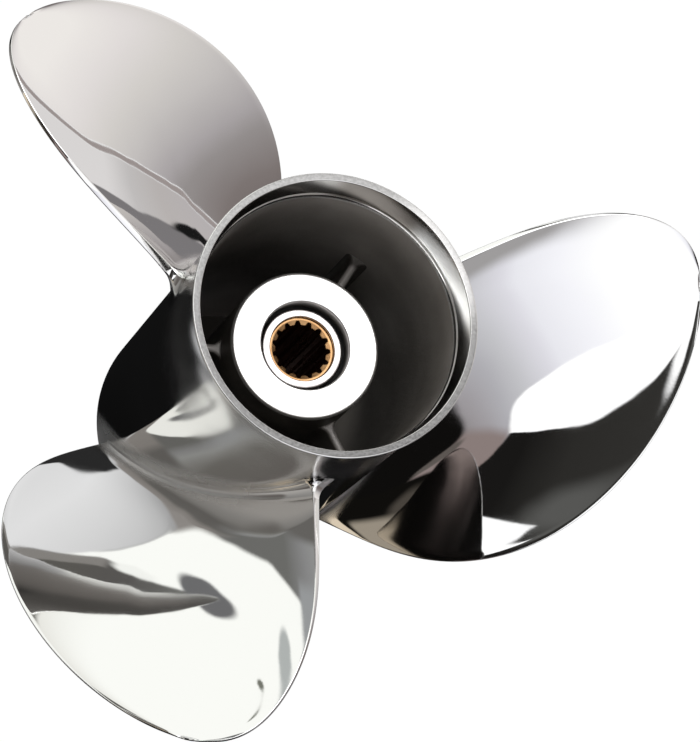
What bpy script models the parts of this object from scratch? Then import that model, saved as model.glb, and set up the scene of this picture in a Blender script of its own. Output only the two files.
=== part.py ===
"""Stainless propeller of an outboard motor: three blades on an exhaust barrel, right-hand rotation.

The shaft axis is +Z. The propeller stands on the front end of its barrel, so z = 0 is the face that
meets the gear housing, and +Z points aft, the way the exhaust leaves. Angles run counter-clockwise
seen from aft, and the blades' trailing edges lie on that side.
"""

import math

import bmesh
import bpy
from mathutils import Vector

MM = 0.001
GAP = 0.3 * MM

# Barrel and the flared ring at its aft end.
LENGTH = 178.8 * MM
BARREL_FRONT_RADIUS = 56.3 * MM
BARREL_AFT_RADIUS = 57.5 * MM
BARREL_WALL = 3.5 * MM
RING_LENGTH = 28.0 * MM
RIM_RADIUS = 60.3 * MM
RIM_WALL = 3.3 * MM

# Inner hub, which carries the bush, and the three ribs that join it to the barrel.
HUB_RADIUS = 31.7 * MM
HUB_BORE_RADIUS = 27.5 * MM
HUB_FRONT_Z = 12.0 * MM
HUB_AFT_Z = 134.6 * MM
HUB_LIP_RADIUS = 19.0 * MM
HUB_LIP_THICKNESS = 7.0 * MM
RIB_COUNT = 3
RIB_THICKNESS = 4.0 * MM
RIB_FRONT_Z = 16.0 * MM
RIB_AFT_Z = 116.8 * MM
RIB_ANGLE = math.radians(60.0)

# Rubber bush, the bright collar at the aft end, and the splined sleeve that takes the shaft.
BUSH_FRONT_Z = 22.0 * MM
BUSH_AFT_Z = 123.0 * MM
SLEEVE_FRONT_Z = 16.0 * MM
SLEEVE_AFT_Z = 129.8 * MM
COLLAR_RADIUS = 17.4 * MM
COLLAR_LENGTH = 18.0 * MM
SLEEVE_RADIUS = 13.8 * MM
SPLINE_ROOT_RADIUS = 12.5 * MM
SPLINE_TIP_RADIUS = 11.0 * MM
SPLINE_TEETH = 15
SPLINE_ANGLE = math.radians(-9.2)

# Blades: constant pitch helix with rake, drawn as sections on cylinders round the shaft.
BLADE_COUNT = 3
TIP_RADIUS = 177.8 * MM
ROOT_RADIUS = 57.0 * MM
PITCH = 533.4 * MM
BLADE_ANGLE = math.radians(118.8)
BLADE_Z = 77.1 * MM
ROOT_HALF_WIDTH = math.radians(40.0)
FULLNESS = 2.3
MIDDLE_ANGLE = math.radians(-2.0)
SKEW = math.radians(17.8)
SKEW_POWER = 3.0
RAKE_LINEAR = 66.0 * MM
RAKE_SQUARE = -23.0 * MM
HOLLOW = 2.2 * MM
CUP = 1.4 * MM
CUP_START = 0.72
ROOT_THICKNESS = 9.0 * MM
TIP_THICKNESS = 2.6 * MM
LEADING_THICKNESS = 1.6 * MM
TRAILING_ROOT_THICKNESS = 5.0 * MM
TRAILING_TIP_THICKNESS = 1.8 * MM
FILLET_HEIGHTS = (0.0, 2.2 * MM, 7.5 * MM)
FILLET_WIDTHS = (4.5 * MM, 1.6 * MM, 0.0)

BARREL_STEPS = 96
HUB_STEPS = 72
SLEEVE_STEPS = 60
BLADE_ROWS = 15
BLADE_COLUMNS = 18
ROOT_STRIPS = 4


def clear_scene():
    for item in list(bpy.data.objects):
        bpy.data.objects.remove(item, do_unlink=True)


def material(name, colour, roughness, metallic):
    made = bpy.data.materials.new(name)
    made.use_nodes = True
    shader = made.node_tree.nodes["Principled BSDF"]
    shader.inputs["Base Color"].default_value = (*colour, 1.0)
    shader.inputs["Roughness"].default_value = roughness
    shader.inputs["Metallic"].default_value = metallic
    return made


def add_object(name, mesh, look, angle=0.0, sharp=math.radians(35.0)):
    mesh.shade_smooth()
    mesh.set_sharp_from_angle(angle=sharp)
    made = bpy.data.objects.new(name, mesh)
    bpy.context.collection.objects.link(made)
    made.rotation_euler = (0.0, 0.0, angle)
    made.parent = bpy.data.objects["propeller"]
    made.data.materials.clear()
    made.data.materials.append(look)
    return made


def mesh_from(work, name):
    bmesh.ops.recalc_face_normals(work, faces=work.faces)
    mesh = bpy.data.meshes.new(name)
    work.to_mesh(mesh)
    work.free()
    return mesh


def turned(name, profile, steps):
    """A closed solid turned round the shaft axis from a closed outline of (radius, z) points."""
    work = bmesh.new()
    start = [work.verts.new((radius, 0.0, z)) for radius, z in profile]
    edges = [work.edges.new((start[i], start[(i + 1) % len(start)])) for i in range(len(start))]
    bmesh.ops.spin(
        work,
        geom=start + edges,
        axis=(0.0, 0.0, 1.0),
        cent=(0.0, 0.0, 0.0),
        angle=2.0 * math.pi,
        steps=steps,
        use_duplicate=False,
    )
    bmesh.ops.remove_doubles(work, verts=work.verts, dist=1e-6)
    return mesh_from(work, name)


def barrel_radius(z):
    """Outer radius of the tapered barrel at height z."""
    share = z / (LENGTH - RING_LENGTH)
    return BARREL_FRONT_RADIUS + (BARREL_AFT_RADIUS - BARREL_FRONT_RADIUS) * share


def make_barrel(look):
    aft_z = LENGTH - RING_LENGTH
    profile = [
        (barrel_radius(0.0) - 1.0 * MM, 0.0),
        (barrel_radius(0.0), 1.0 * MM),
        (barrel_radius(aft_z), aft_z),
        (barrel_radius(aft_z) - BARREL_WALL, aft_z),
        (barrel_radius(0.0) - BARREL_WALL, 0.0),
    ]
    return add_object("exhaust_barrel", turned("exhaust_barrel", profile, BARREL_STEPS), look)


def make_ring(look):
    """The diffuser ring flares smoothly from the barrel's end to the rounded rim."""
    steps = 4
    front_z = LENGTH - RING_LENGTH + GAP
    outer = []
    inner = []
    for i in range(steps + 1):
        share = i / steps
        z = front_z + (LENGTH - 1.2 * MM - front_z) * share
        flare = share**2
        wall = BARREL_WALL + (RIM_WALL - BARREL_WALL) * share
        radius = BARREL_AFT_RADIUS + (RIM_RADIUS - BARREL_AFT_RADIUS) * flare
        outer.append((radius, z))
        inner.append((radius - wall, z))
    lip = [(RIM_RADIUS - 1.0 * MM, LENGTH), (RIM_RADIUS - RIM_WALL + 1.0 * MM, LENGTH)]
    profile = outer + lip + inner[::-1]
    return add_object("diffuser_ring", turned("diffuser_ring", profile, HUB_STEPS), look)


def make_hub(look):
    """The inner hub is a tube with a lip at its aft end that covers the bush."""
    lip_z = HUB_AFT_Z - HUB_LIP_THICKNESS
    profile = [
        (HUB_BORE_RADIUS, HUB_FRONT_Z),
        (HUB_RADIUS, HUB_FRONT_Z),
        (HUB_RADIUS, HUB_AFT_Z - 1.2 * MM),
        (HUB_RADIUS - 1.2 * MM, HUB_AFT_Z),
        (HUB_LIP_RADIUS, HUB_AFT_Z),
        (HUB_LIP_RADIUS, lip_z),
        (HUB_BORE_RADIUS, lip_z),
    ]
    return add_object("inner_hub", turned("inner_hub", profile, HUB_STEPS), look)


def rib_mesh():
    """A rib fills the space between the inner hub and the barrel, curved at both ends to fit them."""
    work = bmesh.new()
    half = RIB_THICKNESS / 2.0
    rings = []
    for z in (RIB_FRONT_Z, RIB_AFT_Z):
        inside = HUB_RADIUS + GAP
        outside = barrel_radius(z) - BARREL_WALL - GAP
        corners = []
        for i in range(5):
            y = -half + 2.0 * half * i / 4
            corners.append((math.sqrt(outside**2 - y**2), y))
        for i in range(5):
            y = half - 2.0 * half * i / 4
            corners.append((math.sqrt(inside**2 - y**2), y))
        rings.append([work.verts.new((x, y, z)) for x, y in corners])
    count = len(rings[0])
    for i in range(count):
        j = (i + 1) % count
        work.faces.new((rings[0][i], rings[0][j], rings[1][j], rings[1][i]))
    work.faces.new(rings[0][::-1])
    work.faces.new(rings[1])
    return mesh_from(work, "rib")


def make_ribs(look):
    mesh = rib_mesh()
    for i in range(RIB_COUNT):
        add_object(f"rib_{i + 1}", mesh, look, RIB_ANGLE + i * 2.0 * math.pi / RIB_COUNT)


def make_bush(look):
    profile = [
        (SLEEVE_RADIUS + GAP, BUSH_FRONT_Z),
        (HUB_BORE_RADIUS - GAP, BUSH_FRONT_Z),
        (HUB_BORE_RADIUS - GAP, BUSH_AFT_Z),
        (COLLAR_RADIUS + GAP, BUSH_AFT_Z),
        (COLLAR_RADIUS + GAP, SLEEVE_AFT_Z - COLLAR_LENGTH - GAP),
        (SLEEVE_RADIUS + GAP, SLEEVE_AFT_Z - COLLAR_LENGTH - GAP),
    ]
    return add_object("rubber_bush", turned("rubber_bush", profile, SLEEVE_STEPS), look)


def make_collar(look):
    front_z = SLEEVE_AFT_Z - COLLAR_LENGTH
    profile = [
        (SLEEVE_RADIUS + GAP, front_z),
        (COLLAR_RADIUS, front_z),
        (COLLAR_RADIUS, SLEEVE_AFT_Z - 0.6 * MM),
        (COLLAR_RADIUS - 0.6 * MM, SLEEVE_AFT_Z),
        (SLEEVE_RADIUS + GAP, SLEEVE_AFT_Z),
    ]
    return add_object("sleeve_collar", turned("sleeve_collar", profile, SLEEVE_STEPS), look)


def spline_outline():
    """Involute-like teeth as straight flanks between a root circle and a tip circle."""
    points = []
    step = 2.0 * math.pi / SPLINE_TEETH
    for i in range(SPLINE_TEETH):
        middle = SPLINE_ANGLE + i * step
        points.append((SPLINE_ROOT_RADIUS, middle - 0.40 * step))
        points.append((SPLINE_TIP_RADIUS, middle - 0.20 * step))
        points.append((SPLINE_TIP_RADIUS, middle + 0.20 * step))
        points.append((SPLINE_ROOT_RADIUS, middle + 0.40 * step))
    return points


def make_sleeve(look):
    """The splined sleeve: a tube whose bore has one row of teeth for the propeller shaft."""
    work = bmesh.new()
    aft_z = SLEEVE_AFT_Z - 1.6 * MM
    outline = spline_outline()
    rings = []
    for z in (SLEEVE_FRONT_Z, aft_z):
        inner = [work.verts.new((r * math.cos(a), r * math.sin(a), z)) for r, a in outline]
        outer = []
        for _, a in outline:
            point = (SLEEVE_RADIUS * math.cos(a), SLEEVE_RADIUS * math.sin(a), z)
            outer.append(work.verts.new(point))
        rings.append((inner, outer))
    count = len(outline)
    (low_in, low_out), (high_in, high_out) = rings
    for i in range(count):
        j = (i + 1) % count
        work.faces.new((low_out[i], low_out[j], high_out[j], high_out[i]))
        work.faces.new((low_in[j], low_in[i], high_in[i], high_in[j]))
        work.faces.new((low_in[i], low_in[j], low_out[j], low_out[i]))
        work.faces.new((high_in[j], high_in[i], high_out[i], high_out[j]))
    mesh = mesh_from(work, "splined_sleeve")
    return add_object("splined_sleeve", mesh, look, sharp=math.radians(25.0))


def blade_half_width(t):
    """Half of the blade's angular width at share t of the way from the root to the tip."""
    return ROOT_HALF_WIDTH * math.sqrt(max(0.0, (1.0 - t) * (1.0 + FULLNESS * t * t * (1.0 - t))))


def section_point(t, s, back, fillet):
    """A point of the section in its own plane: along the chord, and square to it towards aft.

    s runs from -1 at the leading edge to 1 at the trailing edge. back is 0 on the aft face, which
    pushes the water, and 1 on the forward side. The face is slightly hollow and cups aft at its
    trailing edge, and the fillet widens the section all round where it meets the barrel.
    """
    radius = ROOT_RADIUS + (TIP_RADIUS - ROOT_RADIUS) * t
    slope = math.atan2(PITCH / (2.0 * math.pi), radius)
    half_chord = blade_half_width(t) * radius / math.cos(slope)
    fade = 1.0 - 0.6 * t
    cup = min(1.0, s + 1.0) - max(0.0, (s - CUP_START) / (1.0 - CUP_START)) ** 2
    face = -HOLLOW * fade * (1.0 - s * s) - CUP * fade * cup
    trailing = TRAILING_TIP_THICKNESS
    trailing += (TRAILING_ROOT_THICKNESS - TRAILING_TIP_THICKNESS) * (1.0 - t) ** 2.5
    edge = LEADING_THICKNESS + (trailing - LEADING_THICKNESS) * (0.5 + 0.5 * s)
    middle = TIP_THICKNESS + (ROOT_THICKNESS - TIP_THICKNESS) * (1.0 - t) ** 1.2
    thick = edge + (middle - edge) * (1.0 - abs(s) ** 2.5)
    along = s * (half_chord + fillet)
    return along, face + fillet - back * (thick + 2.0 * fillet)


def blade_point(t, along, across):
    """Bend a section point round its cylinder and lay it along the helix."""
    radius = ROOT_RADIUS + (TIP_RADIUS - ROOT_RADIUS) * t
    slope = math.atan2(PITCH / (2.0 * math.pi), radius)
    middle = MIDDLE_ANGLE + SKEW * t**SKEW_POWER
    angle = middle + (along * math.cos(slope) - across * math.sin(slope)) / radius
    z = BLADE_Z + PITCH * middle / (2.0 * math.pi) + RAKE_LINEAR * t + RAKE_SQUARE * t * t
    z += along * math.sin(slope) + across * math.cos(slope)
    radius = barrel_radius(z) + GAP
    radius += (TIP_RADIUS - radius) * t
    return Vector((radius * math.cos(angle), radius * math.sin(angle), z))


def chord_shares():
    """Places along the chord, closer together at the two edges."""
    count = BLADE_COLUMNS
    return [math.sin((j / count - 0.5) * math.pi) for j in range(count + 1)]


def blade_rows():
    """Share of the height and fillet width of each row, from the root to just short of the tip."""
    height = TIP_RADIUS - ROOT_RADIUS
    rows = [(high / height, wide) for high, wide in zip(FILLET_HEIGHTS, FILLET_WIDTHS)]
    rows += [(1.0 - (1.0 - i / BLADE_ROWS) ** 2, 0.0) for i in range(1, BLADE_ROWS)]
    return rows


def root_cap(work, face, rear):
    """Close the root with strips that follow the barrel, and diagonals that run along it."""
    fillet = FILLET_WIDTHS[0]
    strips = [face]
    for k in range(1, ROOT_STRIPS):
        strip = []
        for s in chord_shares():
            along, near = section_point(0.0, s, 0, fillet)
            far = section_point(0.0, s, 1, fillet)[1]
            strip.append(blade_point(0.0, along, near + (far - near) * k / ROOT_STRIPS))
        strips.append([work.verts.new(point) for point in strip])
    strips.append(rear)
    for low, high in zip(strips, strips[1:]):
        for j in range(BLADE_COLUMNS):
            work.faces.new((low[j], low[j + 1], high[j]))
            work.faces.new((low[j + 1], high[j + 1], high[j]))
    return [strip[0] for strip in strips], [strip[-1] for strip in strips]


def blade_mesh():
    work = bmesh.new()
    sides = []
    for back in (0, 1):
        rows = []
        for t, fillet in blade_rows():
            points = [section_point(t, s, back, fillet) for s in chord_shares()]
            rows.append([work.verts.new(blade_point(t, *point)) for point in points])
        tip = work.verts.new(blade_point(1.0, *section_point(1.0, 0.0, back, 0.0)))
        sides.append((rows, tip))
    (face, face_tip), (rear, rear_tip) = sides
    last = BLADE_COLUMNS
    for rows, tip in sides:
        for low, high in zip(rows, rows[1:]):
            for j in range(last):
                work.faces.new((low[j], low[j + 1], high[j + 1], high[j]))
        for j in range(last):
            work.faces.new((rows[-1][j], rows[-1][j + 1], tip))
    ends = root_cap(work, face[0], rear[0])
    for side, end in zip((0, last), ends):
        work.faces.new(end + [rear[1][side], face[1][side]])
        for i in range(1, len(face) - 1):
            work.faces.new((face[i][side], face[i + 1][side], rear[i + 1][side], rear[i][side]))
        work.faces.new((face[-1][side], face_tip, rear_tip, rear[-1][side]))
    bmesh.ops.triangulate(work, faces=work.faces)
    return mesh_from(work, "blade")


def make_blades(look):
    mesh = blade_mesh()
    for i in range(BLADE_COUNT):
        angle = BLADE_ANGLE - i * 2.0 * math.pi / BLADE_COUNT
        add_object(f"blade_{i + 1}", mesh, look, angle)


def main():
    clear_scene()
    root = bpy.data.objects.new("propeller", None)
    bpy.context.collection.objects.link(root)
    steel = material("polished_stainless", (0.62, 0.61, 0.60), 0.22, 1.0)
    cast = material("blasted_stainless", (0.42, 0.41, 0.40), 0.45, 1.0)
    collar = material("turned_collar", (0.78, 0.74, 0.70), 0.25, 1.0)
    bronze = material("bronze", (0.55, 0.38, 0.18), 0.35, 1.0)
    rubber = material("black_rubber", (0.02, 0.02, 0.02), 0.8, 0.0)
    make_barrel(steel)
    make_ring(steel)
    make_hub(cast)
    make_ribs(cast)
    make_bush(rubber)
    make_collar(collar)
    make_sleeve(bronze)
    make_blades(steel)


main()
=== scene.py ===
# %% [markdown]
# # An outboard boat propeller in polished stainless steel
#
# The object is a three-bladed propeller. It is cast in stainless steel, ground, and polished until
# it mirrors the room, so most of what we see is reflection. Two things make it look right: surfaces
# that are truly smooth, and a studio with something worth reflecting in it.
#
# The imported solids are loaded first. They are faceted and cut apart at their root lines, so this
# script lays fine polished surfaces over them, at the same sizes.

# %% Load the solids
from math import atan2, cos, degrees, exp, pi, radians, sin, sqrt, tan

import bmesh
import bpy
from mathutils import Matrix, Vector


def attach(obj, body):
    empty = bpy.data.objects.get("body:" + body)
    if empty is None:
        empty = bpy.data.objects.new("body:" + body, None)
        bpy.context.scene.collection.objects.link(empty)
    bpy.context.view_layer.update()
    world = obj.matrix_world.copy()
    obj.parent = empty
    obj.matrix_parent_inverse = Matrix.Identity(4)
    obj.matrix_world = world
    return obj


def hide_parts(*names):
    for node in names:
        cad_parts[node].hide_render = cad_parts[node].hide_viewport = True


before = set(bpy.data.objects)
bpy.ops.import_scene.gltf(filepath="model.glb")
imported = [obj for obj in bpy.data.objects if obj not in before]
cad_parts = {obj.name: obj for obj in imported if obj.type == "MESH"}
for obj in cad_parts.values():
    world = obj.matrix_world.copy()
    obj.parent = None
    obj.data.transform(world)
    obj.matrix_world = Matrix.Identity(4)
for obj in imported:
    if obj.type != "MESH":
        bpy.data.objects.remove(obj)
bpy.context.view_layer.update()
MM = 0.001
TURN = 2.0 * pi
print("nodes:", sorted(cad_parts))

# %% [markdown]
# ## Camera
#
# The photograph is taken from aft, with the camera about 24 degrees off the shaft axis and some
# 1.66 m away. The propeller stands on the front end of its barrel, so the camera looks steeply
# down. A long lens keeps the perspective mild. The picture is taller than wide, so the sensor's
# 36 mm belong to its height.

# %% Camera
SENSOR = 36.0
IMAGE_HEIGHT = 742
FOCAL_PIXELS = 4106.0
CAMERA_PLACE = Vector((-444.1, -513.4, 1511.8 + 178.8)) * MM
CAMERA_RIGHT = Vector((0.9556, 0.0273, 0.2935))
CAMERA_DOWN = Vector((0.1121, -0.9546, -0.2761))


def make_camera():
    right = CAMERA_RIGHT.normalized()
    back = right.cross(-CAMERA_DOWN).normalized()
    up = back.cross(right)
    data = bpy.data.cameras.new("camera")
    data.sensor_width = SENSOR
    data.lens = FOCAL_PIXELS * SENSOR / IMAGE_HEIGHT
    data.clip_start = 0.05
    camera = bpy.data.objects.new("camera", data)
    bpy.context.collection.objects.link(camera)
    turn = Matrix((right, up, back)).transposed()
    camera.matrix_world = Matrix.Translation(CAMERA_PLACE) @ turn.to_4x4()
    bpy.context.scene.camera = camera
    print("lens %.1f mm, %.2f m away" % (data.lens, CAMERA_PLACE.length))


make_camera()

# %% [markdown]
# ## Shader maths as Python
#
# A material is a graph of nodes, and a graph is tedious to write out. `Term` wraps one socket, so
# that `a * b + 1` adds the Math nodes by itself. `Look` holds one material and adds any other node
# through a single method, `node`. The short methods after it save writing the same words again.

# %% Shader helper


class Term:
    """One socket of a node graph that can be used in an expression."""

    def __init__(self, look, socket):
        self.look = look
        self.socket = socket

    def _maths(self, operation, *values):
        sockets = dict(enumerate(values))
        return self.look.node("ShaderNodeMath", {"operation": operation}, sockets)

    def __add__(self, other):
        return self._maths("ADD", self, other)

    __radd__ = __add__

    def __sub__(self, other):
        return self._maths("SUBTRACT", self, other)

    def __rsub__(self, other):
        return self._maths("SUBTRACT", other, self)

    def __mul__(self, other):
        return self._maths("MULTIPLY", self, other)

    __rmul__ = __mul__

    def __truediv__(self, other):
        return self._maths("DIVIDE", self, other)

    def __rtruediv__(self, other):
        return self._maths("DIVIDE", other, self)

    def __pow__(self, other):
        return self._maths("POWER", self, other)

    def below(self, limit):
        return self._maths("LESS_THAN", self, limit)

    def step(self, low, high):
        """0 below low, 1 above high, and a smooth ramp between them."""
        settings = {"interpolation_type": "SMOOTHSTEP"}
        sockets = {"Value": self, "From Min": low, "From Max": high}
        return self.look.node("ShaderNodeMapRange", settings, sockets)

    def fall(self, low, high):
        """1 below low and 0 above high."""
        return 1.0 - self.step(low, high)


class Look:
    """A material or world under construction."""

    def __init__(self, block):
        self.block = block
        block.use_nodes = True
        self.tree = block.node_tree

    def node(self, kind, settings=None, sockets=None, output=0):
        """Add a node: its settings first, then values or links for its sockets."""
        made = self.tree.nodes.new(kind)
        for name, value in (settings or {}).items():
            if name == "ramp":
                self._ramp(made.color_ramp, value)
            else:
                setattr(made, name, value)
        for name, value in (sockets or {}).items():
            if isinstance(value, Term):
                self.tree.links.new(value.socket, made.inputs[name])
            else:
                made.inputs[name].default_value = value
        return Term(self, made.outputs[output])

    def _ramp(self, ramp, stops):
        while len(ramp.elements) > 1:
            ramp.elements.remove(ramp.elements[-1])
        for i, (place, colour) in enumerate(stops):
            element = ramp.elements[0] if i == 0 else ramp.elements.new(place)
            element.position = place
            element.color = (*colour, 1.0)

    def mix(self, share, first, second):
        """A colour between first and second."""
        sockets = {0: share, 6: first, 7: second}
        return self.node("ShaderNodeMix", {"data_type": "RGBA"}, sockets, output=2)

    def place(self):
        """Where a point lies, in metres from the shaft axis and the barrel's front end."""
        return self.node("ShaderNodeTexCoord", output=3)

    def axes(self, vector, count=3):
        return [self.node("ShaderNodeSeparateXYZ", None, {0: vector}, output=k) for k in range(count)]

    def noise(self, place, scale, detail):
        sockets = {"Vector": place, "Scale": scale, "Detail": detail}
        return self.node("ShaderNodeTexNoise", None, sockets)

    def rings(self, radius, per_metre):
        """Fine grooves round the axis, as a turning tool leaves them."""
        sockets = {"W": radius * per_metre, "Detail": 2.0}
        return self.node("ShaderNodeTexNoise", {"noise_dimensions": "1D"}, sockets)

    def bump(self, height, depth, strength=1.0, **more):
        sockets = {"Height": height, "Strength": strength, "Distance": depth, **more}
        return self.node("ShaderNodeBump", None, sockets)

    def shader(self, **sockets):
        """Set the Principled shader's sockets, from values or links."""
        target = self.tree.nodes["Principled BSDF"]
        for name, value in sockets.items():
            slot = target.inputs[name.replace("_", " ")]
            if isinstance(value, Term):
                self.tree.links.new(value.socket, slot)
            else:
                slot.default_value = value
        return self.block


def new_look(name):
    return Look(bpy.data.materials.new(name))


print("shader helper ready")

# %% [markdown]
# ## Sizes
#
# These are the same sizes that the solids were made with, in metres. The scene can't read the
# source of the solids, so they are written down again here.

# %% Sizes
LENGTH = 178.8 * MM
RING_Z = 150.8 * MM
BARREL_FRONT_RADIUS = 56.3 * MM
BARREL_AFT_RADIUS = 57.5 * MM
BARREL_WALL = 3.5 * MM
RIM_RADIUS = 60.3 * MM
RIM_WALL = 3.3 * MM

BLADE_COUNT = 3
TIP_RADIUS = 177.8 * MM
ROOT_RADIUS = 57.0 * MM
BLADE_HEIGHT = TIP_RADIUS - ROOT_RADIUS
PITCH = 533.4 * MM
BLADE_ANGLE = radians(118.8)
BLADE_Z = 77.1 * MM

HUB_RADIUS = 31.7 * MM
HUB_BORE_RADIUS = 27.5 * MM
HUB_FRONT_Z = 12.0 * MM
HUB_AFT_Z = 134.6 * MM
HUB_LIP_RADIUS = 19.0 * MM
HUB_LIP_THICKNESS = 7.0 * MM

RIB_COUNT = 3
RIB_ANGLE = radians(60.0)
RIB_HALF = 2.0 * MM
RIB_FILLET = 4.0 * MM
RIB_FRONT_Z = 16.0 * MM
RIB_AFT_Z = 116.8 * MM

SLEEVE_FRONT_Z = 16.0 * MM
SLEEVE_AFT_Z = 129.8 * MM
COLLAR_RADIUS = 17.4 * MM
COLLAR_LENGTH = 18.0 * MM
SLEEVE_RADIUS = 13.8 * MM


def barrel_radius(z):
    """Outer radius of the tapered barrel at height z."""
    return BARREL_FRONT_RADIUS + (BARREL_AFT_RADIUS - BARREL_FRONT_RADIUS) * z / RING_Z


print("the disc is %.1f mm across" % (2000.0 * TIP_RADIUS))

# %% [markdown]
# ## Polished steel
#
# Stainless steel that was ground and buffed by hand is a mirror with a memory. Fine brush marks
# blur the reflection a little, and the surface rolls gently where the belt passed, which makes the
# edges of reflections wander. The steel is fully metallic and barely warm in colour. A fine noise
# gives the brush marks, and a slow one the roll, which stays under 0.2 mm in height.
#
# The aft face is the one that shows, so the forward side is left rougher, and painted shade darkens
# its colour. No wheel reaches well into the corner along the blade's root, apart from its aft end.

# %% Polished steel
STEEL = (0.80, 0.79, 0.775, 1.0)
SHADED_FORWARD_STEEL = (0.46, 0.45, 0.44, 1.0)
FACES_FORWARD = (-0.2, -0.08)
ROLL_DEPTH = 0.16 * MM
MARK_DEPTH = 0.004 * MM
CORNER_HEIGHT = (2.0 * MM, 8.0 * MM)
CORNER_END_Z = (95.0 * MM, 120.0 * MM)


def polished_steel():
    look = new_look("polished_steel")
    place = look.place()
    roll = look.noise(place, 22.0, 2.0)
    marks = look.noise(place, 900.0, 3.0)
    cloud = look.noise(place, 60.0, 4.0)
    waved = look.bump(roll, ROLL_DEPTH)
    fine = look.bump(marks, MARK_DEPTH, 0.25, Normal=waved)
    facing = look.node("ShaderNodeNewGeometry", output=3)
    upward = look.node("ShaderNodeSeparateXYZ", None, {0: facing}, output=2)
    forward = upward.fall(*FACES_FORWARD)
    # painted shade: the steel's colour is darker on faces that point forward and down; the rougher
    # finish there is real
    colour = look.mix(forward, STEEL, SHADED_FORWARD_STEEL)
    x, y, z = look.axes(place)
    height = (x * x + y * y) ** 0.5 - ROOT_RADIUS
    corner = height.fall(*CORNER_HEIGHT) * z.fall(*CORNER_END_Z)
    roughness = 0.02 + 0.03 * cloud.step(0.35, 0.75) + 0.14 * forward + 0.3 * corner
    return look.shader(Base_Color=colour, Metallic=1.0, Roughness=roughness, Normal=fine)


STEEL_LOOK = polished_steel()
print("polished steel ready")

# %% [markdown]
# ## Turned pieces
#
# Barrel, hub, bush and collar were turned on a lathe, so each is an outline spun round the shaft
# axis. A sharp corner never shows a highlight, and real corners are always broken. `rounded` swaps
# each corner of an outline for a small arc.

# %% Turned pieces


def rounded(corners, steps=6):
    """Replace each (radius, z, round) corner of a closed outline with an arc of that radius."""
    outline = []
    count = len(corners)
    for i, (x, z, size) in enumerate(corners):
        here = Vector((x, z))
        before = Vector(corners[i - 1][:2]) - here
        after = Vector(corners[(i + 1) % count][:2]) - here
        if size == 0.0:
            outline.append((x, z))
            continue
        half = before.angle(after) / 2.0
        reach = size / tan(half)
        centre = here + (before.normalized() + after.normalized()).normalized() * (size / sin(half))
        start = here + before.normalized() * reach - centre
        sweep = start.angle_signed(here + after.normalized() * reach - centre)
        for k in range(steps + 1):
            spoke = start.copy()
            spoke.rotate(Matrix.Rotation(-sweep * k / steps, 2))
            outline.append(tuple(centre + spoke))
    return outline


def finish_mesh(work, name, sharp=30.0):
    bmesh.ops.recalc_face_normals(work, faces=work.faces)
    mesh = bpy.data.meshes.new(name)
    work.to_mesh(mesh)
    work.free()
    mesh.shade_smooth()
    mesh.set_sharp_from_angle(angle=radians(sharp))
    return mesh


def add_piece(name, mesh, look, nodes, angle=0.0):
    """Show a mesh, turned round the shaft axis, as a piece of the propeller in place of its solids."""
    mesh = mesh.copy()
    mesh.transform(Matrix.Rotation(angle, 4, "Z"))
    mesh.materials.append(look)
    piece = bpy.data.objects.new(name, mesh)
    bpy.context.collection.objects.link(piece)
    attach(piece, "root")
    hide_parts(*nodes)
    print(name, len(mesh.polygons), "faces")


def turned(name, outline, steps):
    work = bmesh.new()
    start = [work.verts.new((radius, 0.0, z)) for radius, z in outline]
    edges = [work.edges.new((start[i - 1], start[i])) for i in range(len(start))]
    bmesh.ops.spin(work, geom=start + edges, axis=(0.0, 0.0, 1.0), angle=TURN, steps=steps)
    bmesh.ops.remove_doubles(work, verts=work.verts, dist=1e-6)
    return finish_mesh(work, name)


# %% [markdown]
# ## Barrel and diffuser ring
#
# The barrel leads the exhaust out through the middle of the propeller. Its aft end flares into the
# diffuser ring, which keeps exhaust from creeping back on to the blades. In the real casting they
# are one surface, so one turned piece stands for both solids, and one material covers it:
#
# - the outside is polished, but duller towards the ring and in the corners beside the blades;
# - the rim's face is satin, with painted light that makes it brighter on one side;
# - the mouth is bright as far as a small step, where the turning tool stopped, with a painted
#   highlight on one side, and it is drawn darker on another side;
# - inside the step it is dark with soot, with painted light on one side and towards the mouth.
#
# Each place is a mask made from the radius, the height and the direction.

# %% Barrel masks
LIT_SIDE = radians(35.0)
DARK_MOUTH_SIDE = radians(70.0)
RIM_LIGHT_SIDE = radians(100.0)
STEP_Z = LENGTH - 13.5 * MM
BORE_EDGE = (54.9 * MM, 55.3 * MM)
SKIN_EDGE = (55.7 * MM, 56.0 * MM)
MOUTH_EDGE = (57.0 * MM, 57.3 * MM)
INSIDE_LIGHT_Z = (135.0 * MM, 166.0 * MM)
DULL_START_Z = (95.0 * MM, 145.0 * MM)


def beside_blade_root(look, x, y, z):
    """1 along the three helical lines where the blades stand on the barrel, 0 away from them."""
    angle = look.node("ShaderNodeMath", {"operation": "ARCTAN2"}, {0: y, 1: x})
    helix = angle - (z - BLADE_Z) * (TURN / PITCH) - BLADE_ANGLE
    wave = look.node("ShaderNodeMath", {"operation": "COSINE"}, {0: helix * BLADE_COUNT})
    return wave.step(0.70, 0.92)


def barrel_places(radius, z):
    """Masks of the sooty inside, the rim's face, the mouth and the outside."""
    inside = radius.fall(*BORE_EDGE) * z.fall(STEP_Z - 1.0 * MM, STEP_Z)
    rim = z.step(LENGTH - 0.05 * MM, LENGTH - 0.01 * MM)
    mouth = z.step(STEP_Z - 0.5 * MM, STEP_Z + 0.5 * MM) * radius.fall(*MOUTH_EDGE)
    outside = radius.step(*SKIN_EDGE) * (1.0 - mouth)
    return inside, rim, mouth, outside


print("the step lies %.1f mm inside the rim" % ((LENGTH - STEP_Z) / MM))

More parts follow.
